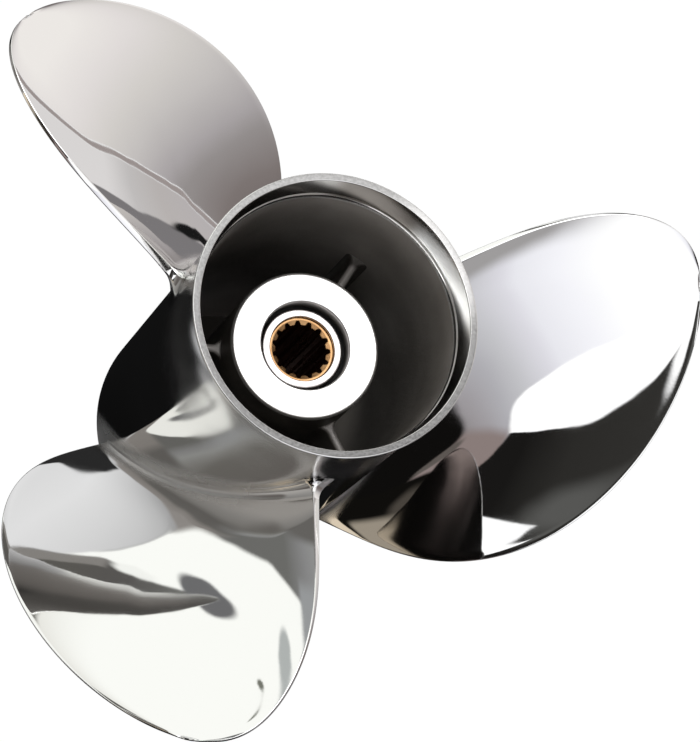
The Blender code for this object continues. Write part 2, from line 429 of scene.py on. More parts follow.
# %% Barrel finish
DARK_SOOT = ((0.075, 0.066, 0.058, 1.0), (0.11, 0.097, 0.086, 1.0))
LIT_SOOT = ((0.28, 0.255, 0.23, 1.0), (0.36, 0.33, 0.30, 1.0))
SATIN_AND_LIGHT = ((0.08, 0.078, 0.076, 1.0), (0.42, 0.41, 0.40, 1.0))
MOUTH_AND_HIGHLIGHT = ((0.60, 0.58, 0.56, 1.0), (0.93, 0.925, 0.91, 1.0))
DARKER_MOUTH = (0.22, 0.20, 0.18, 1.0)


def barrel_steel():
    look = new_look("barrel_steel")
    place = look.place()
    x, y, z = look.axes(place)
    radius = (x * x + y * y) ** 0.5

    def toward(angle):
        return (x * cos(angle) + y * sin(angle)) / radius

    inside, rim, mouth, outside = barrel_places(radius, z)
    soot = look.noise(place, 38.0, 5.0)
    grain = look.noise(place, 800.0, 3.0)
    roll = look.noise(place, 22.0, 2.0)
    cloud = look.noise(place, 60.0, 4.0)
    # painted light: the sooty inside is drawn lighter towards the mouth and on one side, where light
    # falls in
    mouth_light = z.step(*INSIDE_LIGHT_Z) * 0.4
    soot_light = toward(LIT_SIDE).step(-0.15, 1.05) * (1.0 - mouth_light) + mouth_light
    thick = look.mix(soot.step(0.3, 0.7), *DARK_SOOT)
    thin = look.mix(soot.step(0.3, 0.7), *LIT_SOOT)
    # painted light: the rim's satin face is drawn lighter on one side, and lighter still in a patch on
    # another
    light = 0.5 + 0.3 * toward(RIM_LIGHT_SIDE) + 0.9 * toward(LIT_SIDE).step(0.82, 0.98)
    satin = look.mix(light * 0.6 + (grain.step(0.3, 0.7) - 0.5) * 0.2, *SATIN_AND_LIGHT)
    # painted highlight: a bright streak on one side of the mouth; the next line draws the mouth darker
    # on another side
    mouth_tone = look.mix(toward(LIT_SIDE - 0.1).step(0.86, 0.94), *MOUTH_AND_HIGHLIGHT)
    mouth_tone = look.mix(toward(DARK_MOUTH_SIDE).step(0.90, 0.97), mouth_tone, DARKER_MOUTH)
    skin = look.mix(mouth, STEEL, mouth_tone)
    colour = look.mix(inside, look.mix(rim, skin, satin), look.mix(soot_light, thick, thin))
    corner = beside_blade_root(look, x, y, z) * z.fall(*CORNER_END_Z)
    duller = outside * (0.17 * z.step(*DULL_START_Z) + 0.25 * corner)
    polished = 0.02 + 0.03 * cloud.step(0.35, 0.75) + 0.1 * mouth + duller + 0.2 * rim
    roughness = polished + inside * (0.42 + 0.1 * grain - polished)
    height = roll * (0.7 - 0.7 * inside) + inside * grain * 0.25
    normal = look.bump(height, 0.22 * MM)
    metallic = 1.0 - 0.35 * inside
    return look.shader(Base_Color=colour, Metallic=metallic, Roughness=roughness, Normal=normal)


BARREL_LOOK = barrel_steel()
print("barrel finish ready")

# %% Barrel and diffuser ring
FLARE_STEPS = 12


def barrel_outline():
    """Outline of the wall: up the outside with its flare, over the rim, and down the inside."""
    outer = [(barrel_radius(0.0), 0.0, 1.2 * MM), (barrel_radius(0.5 * RING_Z), 0.5 * RING_Z, 0.0)]
    for i in range(FLARE_STEPS):
        share = i / FLARE_STEPS
        z = RING_Z + (LENGTH - RING_Z) * share
        outer.append((BARREL_AFT_RADIUS + (RIM_RADIUS - BARREL_AFT_RADIUS) * share**2, z, 0.0))
    rim = [(RIM_RADIUS, LENGTH, 0.6 * MM), (RIM_RADIUS - RIM_WALL, LENGTH, 0.5 * MM)]
    inner = [
        (55.75 * MM, STEP_Z + 1.0 * MM, 0.3 * MM),
        (55.35 * MM, STEP_Z, 0.3 * MM),
        (54.6 * MM, STEP_Z - 6.0 * MM, 0.0),
        (54.1 * MM, RING_Z, 0.0),
        (53.9 * MM, RING_Z - 8.0 * MM, 0.0),
        (barrel_radius(0.0) - BARREL_WALL, 0.0, 0.8 * MM),
    ]
    return rounded(outer + rim + inner)


add_piece(
    "barrel_with_flared_ring",
    turned("barrel_with_flared_ring", barrel_outline(), 256),
    BARREL_LOOK,
    ["exhaust_barrel", "diffuser_ring"],
)

# %% [markdown]
# ## Blades
#
# A propeller blade is a piece of a screw surface. Its sections are drawn on cylinders round the
# shaft, laid along a helix, and lofted from the root to the tip. It could be modelled by pulling a
# plane into shape, but a mirror finish shows every dent of a hand-made surface. So each point comes
# from one smooth formula instead. The formula has five jobs:
#
# - the helix of constant pitch, and the skew and rake that sweep the blade round and aft;
# - the section, hollow on its aft face, with an eased leading edge and a cupped trailing edge;
# - the gentle swell of the face where it comes down to the barrel;
# - the small radii along both edges, the trailing edge, trimmed at its root and cut on a slant, and
#   the thin rounded tip;
# - the fillet, which spreads the section just above the barrel until it lies flat on it, and which
#   shrinks towards the leading edge.

# %% Blade formula
ROOT_HALF_WIDTH = radians(40.0)
FULLNESS = 2.3
MIDDLE_ANGLE = radians(-2.0)
SKEW = radians(17.8)
SKEW_POWER = 3.0
RAKE_LINEAR = 66.0 * MM
RAKE_SQUARE = -23.0 * MM
HOLLOW = 2.2 * MM
CUP = 1.4 * MM
CUP_START = 0.72
EASE = 0.35 * MM
EASE_START = 0.93
ROOT_THICKNESS = 9.0 * MM
TIP_THICKNESS = 2.6 * MM
LEADING_THICKNESS = 1.6 * MM
TRAILING_ROOT_THICKNESS = 4.0 * MM
TRAILING_TRIM = 1.8 * MM
TRAILING_SLANT = (0.08, 0.25)
SLANT_REACH = 0.3
TRAILING_TIP_THICKNESS = 1.8 * MM
TRAILING_THINNING = 2.5
THINNING = 1.2
FILLET = 8.0 * MM
LEADING_FILLET = 0.12
SWELL = (3.8, -4.0, -3.3, 3.3)
SWELL_REACH = 17.5 * MM
EDGE_ROUND = 0.5 * MM
TIP_ROUND = 1.2 * MM


def blade_half_width(t):
    return ROOT_HALF_WIDTH * sqrt(max(0.0, (1.0 - t) * (1.0 + FULLNESS * t * t * (1.0 - t))))


def root_swell(t, s):
    """The face rises gently towards the barrel, most of all in its leading half."""
    lift = sum(factor * s**power for power, factor in enumerate(SWELL)) * MM
    return lift * exp(-((max(t, 0.0) * BLADE_HEIGHT / SWELL_REACH) ** 2))


def section_heights(t, s):
    """Aft face and forward side, square to the chord, at s from -1 (leading) to 1 (trailing)."""
    fade = 1.0 - 0.6 * t
    cup = min(1.0, s + 1.0) - max(0.0, (s - CUP_START) / (1.0 - CUP_START)) ** 2
    face = -HOLLOW * fade * (1.0 - s * s) - CUP * fade * cup
    face += root_swell(t, s) - EASE * max(0.0, (-s - EASE_START) / (1.0 - EASE_START)) ** 2
    trailing = TRAILING_TIP_THICKNESS
    trailing += (TRAILING_ROOT_THICKNESS - TRAILING_TIP_THICKNESS) * (1.0 - t) ** TRAILING_THINNING
    edge = LEADING_THICKNESS + (trailing - LEADING_THICKNESS) * (0.5 + 0.5 * s)
    middle = TIP_THICKNESS + (ROOT_THICKNESS - TIP_THICKNESS) * (1.0 - t) ** THINNING
    thick = edge + (middle - edge) * (1.0 - abs(s) ** 2.5)
    near_tip = max(0.0, 1.0 - (1.0 - t) * BLADE_HEIGHT / TIP_ROUND)
    squeeze = sqrt(1.0 - min(1.0, near_tip) ** 2)
    return face - 0.5 * thick * (1.0 - squeeze), face - 0.5 * thick * (1.0 + squeeze)


def blade_point(t, along, across):
    """Bend a section point round its cylinder and lay it along the helix."""
    radius = ROOT_RADIUS + BLADE_HEIGHT * t
    slope = atan2(PITCH / TURN, radius)
    middle = MIDDLE_ANGLE + SKEW * abs(t) ** SKEW_POWER
    angle = middle + (along * cos(slope) - across * sin(slope)) / radius
    z = BLADE_Z + PITCH * middle / TURN + RAKE_LINEAR * t + RAKE_SQUARE * t * t
    z += along * sin(slope) + across * cos(slope)
    radius = barrel_radius(z) + (TIP_RADIUS - barrel_radius(z)) * t
    return Vector((radius * cos(angle), radius * sin(angle), z))


root_chord = 2.0 * blade_half_width(0.0) * ROOT_RADIUS / cos(atan2(PITCH / TURN, ROOT_RADIUS))
print("root chord %.1f mm" % (1000.0 * root_chord))

# %% Blade mesh
SIDE_POINTS = 64
FILLET_ROWS = 22
BLADE_ROWS = 96
SUNK = 0.8 * MM


def fillet_spread(height):
    """How far a quarter circle of radius FILLET reaches out at this height over the barrel."""
    left = min(max(FILLET - height, 0.0), FILLET)
    return FILLET - sqrt(FILLET**2 - left**2)


def fillet_share(s):
    """The fillet shrinks from its full size at the trailing edge to a small one at the leading edge."""
    return LEADING_FILLET + (1.0 - LEADING_FILLET) * (0.5 + 0.5 * min(max(s, -1.0), 1.0)) ** 2


def section_loop(t, spread):
    """Closed outline of one section, widened by the fillet's spread, as (s, along, across)."""
    radius = ROOT_RADIUS + BLADE_HEIGHT * t
    slope = atan2(PITCH / TURN, radius)
    half_chord = max(blade_half_width(t) * radius / cos(slope), 0.02 * MM)
    lead_spread = spread * LEADING_FILLET
    face_end, back_end = section_heights(t, 1.0)
    trailing_round = min(EDGE_ROUND, 0.45 * (face_end - back_end), 0.3 * half_chord) + spread
    lead_face, lead_back = section_heights(t, -1.0)
    leading_round = min(0.48 * (lead_face - lead_back), 0.3 * half_chord) + lead_spread
    ends = (half_chord - TRAILING_TRIM * max(0.0, 1.0 - t) ** 3 + spread, -half_chord - lead_spread)
    slant_share = min(1.0, max(0.0, t) / SLANT_REACH)
    slant = TRAILING_SLANT[0] + (TRAILING_SLANT[1] - TRAILING_SLANT[0]) * slant_share
    corner = ends[0] - slant * (face_end - back_end)
    low = ends[1] + 1.3 * leading_round
    high = corner - 1.3 * trailing_round
    face, back = [], []

    def chord_place(along):
        return 2.0 * (along - ends[1]) / (ends[0] - ends[1]) - 1.0

    for j in range(SIDE_POINTS + 1):
        along = low + (high - low) * (0.5 + 0.5 * sin((j / SIDE_POINTS - 0.5) * pi))
        s = chord_place(along)
        heights = section_heights(t, s)
        grown = spread * fillet_share(s)
        face.append((along, heights[0] + grown, 0.0))
        back.append((along, heights[1] - grown, 0.0))
    trailing = [
        (corner, face_end + spread, trailing_round),
        (ends[0], back_end - spread, trailing_round),
    ]
    leading = [
        (ends[1], lead_back - lead_spread, leading_round),
        (ends[1], lead_face + lead_spread, leading_round),
    ]
    outline = rounded(face + trailing + back[::-1] + leading, steps=8)
    return [(chord_place(along), along, across) for along, across in outline]


def lowered(t, s):
    """Where the fillet is smaller, all rows move down towards the barrel, and the tip stays."""
    start = FILLET / BLADE_HEIGHT
    share = fillet_share(s)
    return t * share if t < start else 1.0 - (1.0 - t) * (1.0 - start * share) / (1.0 - start)


def blade_rows():
    """Share of the height and fillet spread of each row, from inside the barrel wall to the tip."""
    rows = [(-SUNK / BLADE_HEIGHT, FILLET)]
    for i in range(FILLET_ROWS + 1):
        height = FILLET * (1.0 - cos(0.5 * pi * i / FILLET_ROWS))
        rows.append((height / BLADE_HEIGHT, fillet_spread(height)))
    start = FILLET / BLADE_HEIGHT
    for i in range(1, BLADE_ROWS):
        rows.append((1.0 - (1.0 - start) * (1.0 - i / BLADE_ROWS) ** 2, 0.0))
    return rows


def blade_mesh():
    work = bmesh.new()
    loops = []
    for t, spread in blade_rows():
        loop = []
        for s, along, across in section_loop(t, spread):
            loop.append(work.verts.new(blade_point(lowered(t, s), along, across)))
        loops.append(loop)
    count = len(loops[0])
    for low, high in zip(loops, loops[1:]):
        for j in range(count):
            work.faces.new((low[j - 1], low[j], high[j], high[j - 1]))
    half = count // 2
    for loop in (loops[0], loops[-1]):
        for j in range(half - 1):
            work.faces.new((loop[j], loop[j + 1], loop[count - 2 - j], loop[count - 1 - j]))
    return finish_mesh(work, "blade", sharp=60.0)


BLADE = blade_mesh()
for number in range(1, BLADE_COUNT + 1):
    turn = BLADE_ANGLE - (number - 1) * TURN / BLADE_COUNT
    name = "blade_%d" % number
    add_piece("polished_" + name, BLADE, STEEL_LOOK, [name], turn)

# %% [markdown]
# ## Inner steel
#
# The casting's inside was never polished. Only its aft face was turned, so it is bright, while the
# walls of the exhaust passages kept the blasted skin of the casting, which heat and soot have
# darkened. Under soot the steel hardly shines like metal. Each rib's aft end has painted light: a
# lighter tone where light from above catches it. One material covers them all: bright where the
# surface lies at the height of the hub's face, with rings from the turning tool, and dark and grainy
# elsewhere.

# %% Inner steel
SOOTY = ((0.030, 0.026, 0.022, 1.0), (0.075, 0.066, 0.056, 1.0))
LIT_RIB_END = (0.17, 0.156, 0.145, 1.0)
LIP_STEEL = (0.42, 0.41, 0.40, 1.0)
FACE_STEEL = (0.86, 0.855, 0.84, 1.0)
RIB_LIGHT_END = (48.5 * MM, 51.0 * MM)


def inner_steel():
    look = new_look("inner_steel")
    place = look.place()
    x, y, z = look.axes(place)
    radius = (x * x + y * y) ** 0.5
    grain = look.noise(place, 700.0, 3.0)
    stain = look.noise(place, 45.0, 4.0)
    rings = look.rings(radius, 2600.0)
    face = z.step(HUB_AFT_Z - 2.4 * MM, HUB_AFT_Z - 0.6 * MM)
    lip = radius.fall(HUB_LIP_RADIUS + 1.0 * MM, HUB_LIP_RADIUS + 2.0 * MM)
    lip = lip * z.step(HUB_AFT_Z - 6.0 * MM, HUB_AFT_Z - 1.0 * MM)
    # painted light: the aft end of each rib is drawn lighter, where light from above catches it
    lit_rib_end = radius.step(HUB_RADIUS + 0.3 * MM, HUB_RADIUS + 0.8 * MM)
    lit_rib_end = lit_rib_end * radius.fall(*RIB_LIGHT_END)
    lit_rib_end = lit_rib_end * z.step(RIB_AFT_Z - 1.2 * MM, RIB_AFT_Z - 0.4 * MM)
    dark = look.mix(stain.step(0.3, 0.7), *SOOTY)
    dark = look.mix(lit_rib_end, dark, LIT_RIB_END)
    dark = look.mix(lip, dark, LIP_STEEL)
    colour = look.mix(face, dark, FACE_STEEL)
    roughness = 0.42 + 0.12 * grain - 0.16 * face
    normal = look.bump(face * rings * 0.35 + (1.0 - face) * grain, 0.04 * MM, 0.5)
    metallic = 0.4 + 0.6 * face
    return look.shader(Base_Color=colour, Metallic=metallic, Roughness=roughness, Normal=normal)


INNER_LOOK = inner_steel()
print("inner steel ready")

# %% [markdown]
# ## Inner hub and ribs
#
# The inner hub is a tube inside the barrel. It is pressed round the rubber bush, and its lip keeps
# the bush from sliding out aft. Three ribs hold it in the middle of the exhaust passage. In the
# casting they run into both walls with fillets, so each rib here swells towards both ends.

# %% Inner hub and ribs
def hub_outline():
    lip = HUB_AFT_Z - HUB_LIP_THICKNESS
    corners = [
        (HUB_BORE_RADIUS, HUB_FRONT_Z, 0.6 * MM),
        (HUB_RADIUS, HUB_FRONT_Z, 1.0 * MM),
        (HUB_RADIUS, HUB_AFT_Z, 1.6 * MM),
        (HUB_LIP_RADIUS, HUB_AFT_Z, 0.8 * MM),
        (HUB_LIP_RADIUS, lip, 0.3 * MM),
        (HUB_BORE_RADIUS, lip, 0.3 * MM),
    ]
    return rounded(corners)


def rib_half(x, inside, outside):
    """Half thickness of a rib at radius x, with a fillet at both walls."""
    gap = max(min(x - inside, outside - x), 0.0)
    left = max(RIB_FILLET - gap, 0.0)
    return RIB_HALF + RIB_FILLET - sqrt(RIB_FILLET**2 - left**2)


RIB_STEPS = 28
RIB_EDGE_STEPS = 6


def rib_mesh():
    """Loops of points round the rib, from its rounded front end to its rounded aft end."""
    work = bmesh.new()
    turns = [0.5 * pi * i / RIB_EDGE_STEPS for i in range(RIB_EDGE_STEPS + 1)]
    edge = [RIB_HALF * (1.0 - cos(turn)) for turn in turns]
    heights = [RIB_FRONT_Z + h for h in edge] + [RIB_AFT_Z - h for h in reversed(edge)]
    loops = []
    for z in heights:
        inside = HUB_RADIUS
        outside = barrel_radius(z) - BARREL_WALL
        near = min(z - RIB_FRONT_Z, RIB_AFT_Z - z)
        shrink = RIB_HALF - sqrt(max(RIB_HALF**2 - (RIB_HALF - min(near, RIB_HALF)) ** 2, 0.0))
        side = []
        for i in range(RIB_STEPS + 1):
            share = 0.5 - 0.5 * cos(pi * i / RIB_STEPS)
            x = inside - 0.5 * MM + (outside - inside + 1.0 * MM) * share
            side.append((x, max(rib_half(x, inside, outside) - shrink, 0.02 * MM)))
        loop = [(x, y) for x, y in side] + [(x, -y) for x, y in reversed(side)]
        loops.append([work.verts.new((sqrt(x * x - y * y), y, z)) for x, y in loop])
    count = len(loops[0])
    for low, high in zip(loops, loops[1:]):
        for j in range(count):
            work.faces.new((low[j - 1], low[j], high[j], high[j - 1]))
    for loop in (loops[0], loops[-1]):
        for j in range(RIB_STEPS):
            work.faces.new((loop[j], loop[j + 1], loop[count - 2 - j], loop[count - 1 - j]))
    return finish_mesh(work, "rib", sharp=60.0)


HUB = turned("turned_hub", hub_outline(), 180)
add_piece("turned_hub", HUB, INNER_LOOK, ["inner_hub"])
RIB = rib_mesh()
for number in range(1, RIB_COUNT + 1):
    turn = RIB_ANGLE + (number - 1) * TURN / RIB_COUNT
    add_piece("cast_rib_%d" % number, RIB, INNER_LOOK, ["rib_%d" % number], turn)

# %% [markdown]
# ## Rubber bush
#
# The bush drives the propeller, and slips before a gear breaks when a blade hits something. It is
# bonded rubber, pressed in tight, so only its two ends show: a black ring with a soft bulge.

# %% Rubber bush
BUSH_FRONT_Z = 22.0 * MM
BUSH_AFT_Z = 123.0 * MM
GAP = 0.3 * MM
RUBBER = (0.012, 0.012, 0.012, 1.0)
DUSTY_RUBBER = (0.045, 0.042, 0.038, 1.0)


def bush_look():
    look = new_look("bush_rubber")
    place = look.place()
    dust = look.noise(place, 90.0, 5.0)
    skin = look.noise(place, 1500.0, 2.0)
    colour = look.mix(dust.step(0.4, 0.8), RUBBER, DUSTY_RUBBER)
    normal = look.bump(skin, 0.05 * MM, 0.6)
    return look.shader(Base_Color=colour, Roughness=0.72 + 0.15 * dust, Normal=normal)


def bush_outline():
    seat = SLEEVE_AFT_Z - COLLAR_LENGTH - GAP
    corners = [
        (SLEEVE_RADIUS + GAP, BUSH_FRONT_Z, 0.5 * MM),
        (0.5 * (SLEEVE_RADIUS + HUB_BORE_RADIUS), BUSH_FRONT_Z - 1.5 * MM, 6.0 * MM),
        (HUB_BORE_RADIUS - GAP, BUSH_FRONT_Z, 0.5 * MM),
        (HUB_BORE_RADIUS - GAP, BUSH_AFT_Z, 0.5 * MM),
        (0.5 * (COLLAR_RADIUS + HUB_BORE_RADIUS), BUSH_AFT_Z + 1.2 * MM, 5.0 * MM),
        (COLLAR_RADIUS + GAP, BUSH_AFT_Z, 0.5 * MM),
        (COLLAR_RADIUS + GAP, seat, 0.0),
        (SLEEVE_RADIUS + GAP, seat, 0.0),
    ]
    return rounded(corners)


BUSH = turned("pressed_bush", bush_outline(), 144)
add_piece("pressed_bush", BUSH, bush_look(), ["rubber_bush"])

# %% [markdown]
# ## Collar and splined sleeve
#
# A bright collar is pressed on the aft end of the sleeve, and the nut's washer bears on it. The
# sleeve is bronze, and fifteen teeth broached through its bore fit the propeller shaft. Its teeth
# are cut back to a cone at both ends, so the shaft finds its way in. Both pieces share one finish in
# two colours, which is drawn dark and reddish a few millimetres down, as old grease and painted shade
# in the bore.

# %% Collar and sleeve finishes
COLLAR_STEEL = ((0.42, 0.385, 0.375, 1.0), (0.62, 0.585, 0.57, 1.0))
BRONZE = ((0.36, 0.20, 0.09, 1.0), (0.47, 0.28, 0.135, 1.0))
GREASE_AND_SHADE = (0.20, 0.085, 0.05, 1.0)


def turned_metal(name, tones, rough):
    """A face cut on a lathe: fine rings round the axis and a faint change of tone."""
    look = new_look(name)
    place = look.place()
    x, y, z = look.axes(place)
    radius = (x * x + y * y) ** 0.5
    rings = look.rings(radius, 4200.0)
    tone = look.noise(place, 160.0, 4.0)
    # old grease and painted shade: dark and reddish a few millimetres below the aft end
    deep = z.fall(SLEEVE_AFT_Z - 4.4 * MM, SLEEVE_AFT_Z - 2.9 * MM)
    paint = look.mix(tone.step(0.35, 0.7), *tones)
    paint = look.mix(deep, paint, GREASE_AND_SHADE)
    roughness = rough + 0.1 * tone
    normal = look.bump(rings, 0.02 * MM, 0.5)
    return look.shader(Base_Color=paint, Metallic=1.0, Roughness=roughness, Normal=normal)


COLLAR_LOOK = turned_metal("collar_steel", COLLAR_STEEL, 0.20)
BRONZE_LOOK = turned_metal("sleeve_bronze", BRONZE, 0.24)
print("collar and bronze ready")

# %% Collar
def collar_outline():
    front = SLEEVE_AFT_Z - COLLAR_LENGTH
    corners = [
        (SLEEVE_RADIUS + 0.1 * MM, front, 0.2 * MM),
        (COLLAR_RADIUS, front, 0.4 * MM),
        (COLLAR_RADIUS, SLEEVE_AFT_Z, 1.1 * MM),
        (SLEEVE_RADIUS + 0.1 * MM, SLEEVE_AFT_Z, 0.4 * MM),
    ]
    return rounded(corners)


COLLAR = turned("bright_collar", collar_outline(), 180)
add_piece("bright_collar", COLLAR, COLLAR_LOOK, ["sleeve_collar"])

# %% Splined sleeve
SPLINE_TEETH = 15
SPLINE_ROOT_RADIUS = 12.5 * MM
SPLINE_TIP_RADIUS = 11.0 * MM
SPLINE_ANGLE = radians(-9.2)
TOOTH_STEPS = 20
TOOTH_FOOT = 0.42
TOOTH_FLANK = 0.24
CONE_DEPTH = 0.9 * MM
CONE_STEPS = 8
CONE_SLOPE = 2.1
SLEEVE_SUNK = 1.6 * MM


def tooth_radius(share):
    """Radius of the bore at share 0 to 1 of one tooth's pitch, with the tooth in the middle."""
    off = abs(share - 0.5)
    climb = min(max((TOOTH_FOOT - off) / TOOTH_FLANK, 0.0), 1.0)
    smooth = climb * climb * (3.0 - 2.0 * climb)
    return SPLINE_ROOT_RADIUS + (SPLINE_TIP_RADIUS - SPLINE_ROOT_RADIUS) * smooth


def sleeve_mesh():
    """Rings of points: up the toothed bore, and down the plain outside."""
    work = bmesh.new()
    aft = SLEEVE_AFT_Z - SLEEVE_SUNK
    count = SPLINE_TEETH * TOOTH_STEPS

    def ring(radii, z):
        row = []
        for k, radius in enumerate(radii):
            angle = TURN * (k / count) - TURN / (2 * SPLINE_TEETH)
            row.append(work.verts.new((radius * cos(angle), radius * sin(angle), z)))
        return row

    cone = [CONE_DEPTH * i / CONE_STEPS for i in range(CONE_STEPS + 1)]
    rows = []
    for z in [SLEEVE_FRONT_Z + h for h in cone] + [aft - h for h in reversed(cone)]:
        start = SPLINE_ROOT_RADIUS + 0.3 * MM - CONE_SLOPE * min(z - SLEEVE_FRONT_Z, aft - z)
        teeth = [tooth_radius((k % TOOTH_STEPS) / TOOTH_STEPS) for k in range(count)]
        rows.append(ring([max(radius, start) for radius in teeth], z))
    outside = [
        (SLEEVE_RADIUS - 1.0 * MM, aft, 0.0),
        (SLEEVE_RADIUS, aft, 0.3 * MM),
        (SLEEVE_RADIUS, SLEEVE_FRONT_Z, 0.3 * MM),
        (SLEEVE_RADIUS - 1.0 * MM, SLEEVE_FRONT_Z, 0.0),
    ]
    for radius, z in rounded(outside, 4)[1:-1]:
        rows.append(ring([radius] * count, z))
    for low, high in zip(rows, rows[1:] + rows[:1]):
        for k in range(count):
            work.faces.new((low[k - 1], low[k], high[k], high[k - 1]))
    return finish_mesh(work, "sleeve")


SLEEVE = sleeve_mesh()
add_piece("bronze_sleeve", SLEEVE, BRONZE_LOOK, ["splined_sleeve"], SPLINE_ANGLE)

# %% [markdown]
# ## Floor
#
# A catalogue picture shows the object on plain white with no shadow to speak of. The floor is a
# wide disc, black underneath its own even glow, like paper on a light table, so no shadow falls on
# it. Inside the barrel's front end a painted shadow stops its glow, so it won't light the exhaust
# passages. Glossy rays don't see it. They see the studio instead, which is painted further down.

# %% Floor
FLOOR_RADIUS = 6.0
FOOT_SHADOW_EDGE = (53.5 * MM, 55.5 * MM)
FOOT_SHADOW_GLOW = (0.004, 0.0035, 0.003, 1.0)
PAPER_GLOW = (1.0, 1.0, 1.0, 1.0)
BLACK = (0.0, 0.0, 0.0, 1.0)


def make_floor():
    work = bmesh.new()
    bmesh.ops.create_circle(work, cap_ends=True, segments=96, radius=FLOOR_RADIUS)
    mesh = bpy.data.meshes.new("floor")
    work.to_mesh(mesh)
    work.free()
    look = new_look("floor_paper")
    x, y = look.axes(look.place(), 2)
    radius = (x * x + y * y) ** 0.5
    # painted shadow: the floor's glow is dark inside the barrel's front end
    glow = look.mix(radius.step(*FOOT_SHADOW_EDGE), FOOT_SHADOW_GLOW, PAPER_GLOW)
    look.shader(Base_Color=BLACK, Roughness=1.0, Emission_Color=glow, Emission_Strength=1.0)
    mesh.materials.append(look.block)
    floor = bpy.data.objects.new("floor", mesh)
    bpy.context.collection.objects.link(floor)
    floor.visible_glossy = False


make_floor()
print("floor ready")

# %% [markdown]
# ## Studio
#
# Polished steel has no look of its own: it shows the room. Lamps and cards could be modelled as
# objects, but they would stand in the way of the other views. So the room is painted on the world,
# as a colour for each direction, with a few soft shapes. Directions are in degrees: azimuth round
# the shaft axis from +X, and elevation over the floor.
#
# Each shape is a mask between 0 and 1. `before` and `under` are true on one side of a direction.
# `over` gives the height above a line, which may bend once. `step` and `fall` turn such a height into
# a soft edge, and `band` into a stripe. `spot` makes an ellipse, and `cap` a round patch near a pole.

# %% Studio tools
BRIGHT = 1.5


def seen(*tone):
    """The light that makes polished steel look this grey or colour, on a scale to 255."""
    light = []
    for value, steel in zip(tone * (3 // len(tone)), STEEL):
        value = value / 255.0
        linear = value / 12.92 if value < 0.04 else ((value + 0.055) / 1.055) ** 2.4
        light.append(linear / steel / BRIGHT)
    return tuple(light)


class Studio(Look):
    """The world as soft shapes placed by azimuth and elevation."""

    def __init__(self):
        super().__init__(bpy.data.worlds.new("studio"))
        self.way = self.node("ShaderNodeTexCoord")
        x, y, z = self.axes(self.way)
        round_turn = self.node("ShaderNodeMath", {"operation": "ARCTAN2"}, {0: y, 1: x})
        rise = self.node("ShaderNodeMath", {"operation": "ARCSINE"}, {0: z})
        self.azimuth = round_turn * degrees(1.0)
        self.elevation = rise * degrees(1.0)

    def tones(self, value, stops):
        """A ramp, whose stops are each a place and the grey or colour that is seen there."""
        ramp = [(place, seen(*tone)) for place, *tone in stops]
        return self.node("ShaderNodeValToRGB", {"ramp": ramp}, {0: value})

    def paint(self, mask, *tone):
        """Lay a grey, a colour or a ramp over what is there."""
        paint = tone[0] if isinstance(tone[0], Term) else (*seen(*tone), 1.0)
        self.colour = self.mix(mask, self.colour, paint)

    def past(self, azimuth):
        return self.azimuth - azimuth

    def before(self, azimuth, soft):
        return self.past(azimuth).fall(-soft, soft)

    def under(self, low, high):
        return self.elevation.fall(low, high)

    def over(self, azimuth, elevation, left=0.0, right=None, bend=3.0):
        """Height over a line through a point, which changes slope there over some degrees."""
        right = left if right is None else right
        along = self.azimuth - azimuth
        hinge = (along * along + bend * bend) ** 0.5 + along
        return self.elevation - elevation - along * left - hinge * (0.5 * (right - left))

    def band(self, height, middle, half, soft):
        distance = ((height - middle) * (height - middle)) ** 0.5
        return 1.0 - distance.step(max(half - 0.5 * soft, 0.0), half + 0.5 * soft)

    def spot(self, azimuth, elevation, wide, high, tilt, soft):
        """1 inside an ellipse that is tilted by some degrees, with a soft rim."""
        east = cos(radians(tilt))
        up = sin(radians(tilt))
        along = (self.azimuth - azimuth) * east + (self.elevation - elevation) * up
        across = (self.elevation - elevation) * east - (self.azimuth - azimuth) * up
        reach = (along * along * (1.0 / wide**2) + across * across * (1.0 / high**2)) ** 0.5
        return reach.fall(1.0 - soft, 1.0 + soft)

    def cap(self, azimuth, elevation, wide, soft):
        """1 within some degrees of one direction, which also works close to the zenith."""
        turn, rise = radians(azimuth), radians(elevation)
        flat = cos(rise)
        toward = (flat * cos(turn), flat * sin(turn), sin(rise))
        sockets = {0: self.way, 1: toward}
        near = self.node("ShaderNodeVectorMath", {"operation": "DOT_PRODUCT"}, sockets, output=1)
        return near.step(cos(radians(wide + soft)), cos(radians(wide - soft)))

    def hang(self):
        """Put the room on the world, with plain paper in front of it for what looks at it directly."""
        direct = self.node("ShaderNodeLightPath")
        paper = (1.0 / BRIGHT, 1.0 / BRIGHT, 1.0 / BRIGHT, 1.0)
        self.colour = self.mix(direct, self.colour, paper)
        background = self.tree.nodes["Background"]
        self.tree.links.new(self.colour.socket, background.inputs["Color"])
        background.inputs["Strength"].default_value = BRIGHT
        bpy.context.scene.world = self.block


studio = Studio()
print("studio tools ready")

# %% [markdown]
# ## The room as a whole
#
# The blades' own parts of the room come in the next cells. Elsewhere the room only has to be
# plausible: black where the floor's far side would be, dim along the horizon, and lighter overhead,
# with one large lamp that the turned faces live from. Reflections off two blades end in two small
# pale patches straight below.

# %% The room as a whole
def light_room(room):
    sky = [(0.10, 12), (0.16, 20), (0.40, 110), (0.62, 190), (0.80, 235)]
    room.colour = room.tones((room.elevation + 90.0) / 180.0, sky)
    room.paint(room.cap(105.0, 66.0, 34.0, 6.0), 400)
    room.paint(room.cap(105.0, -79.0, 3.5, 2.0), 190)
    room.paint(room.cap(180.0, -80.0, 5.0, 2.5), 150)


light_room(studio)
print("the room has", len(studio.tree.nodes), "nodes")

# %% [markdown]
# ## What the upper left blade mirrors
#
# The three blades face three separate parts of the room, so each part gets its own shapes. Their
# places were found by following the mirror path from the camera over each blade, and reading off
# where in the room it ends. A part is `side`, and every shape in it is painted through that mask.
#
# The blade at the upper left sees a wall that grows lighter to one side, and below it the cloth on
# a table with a bright edge.

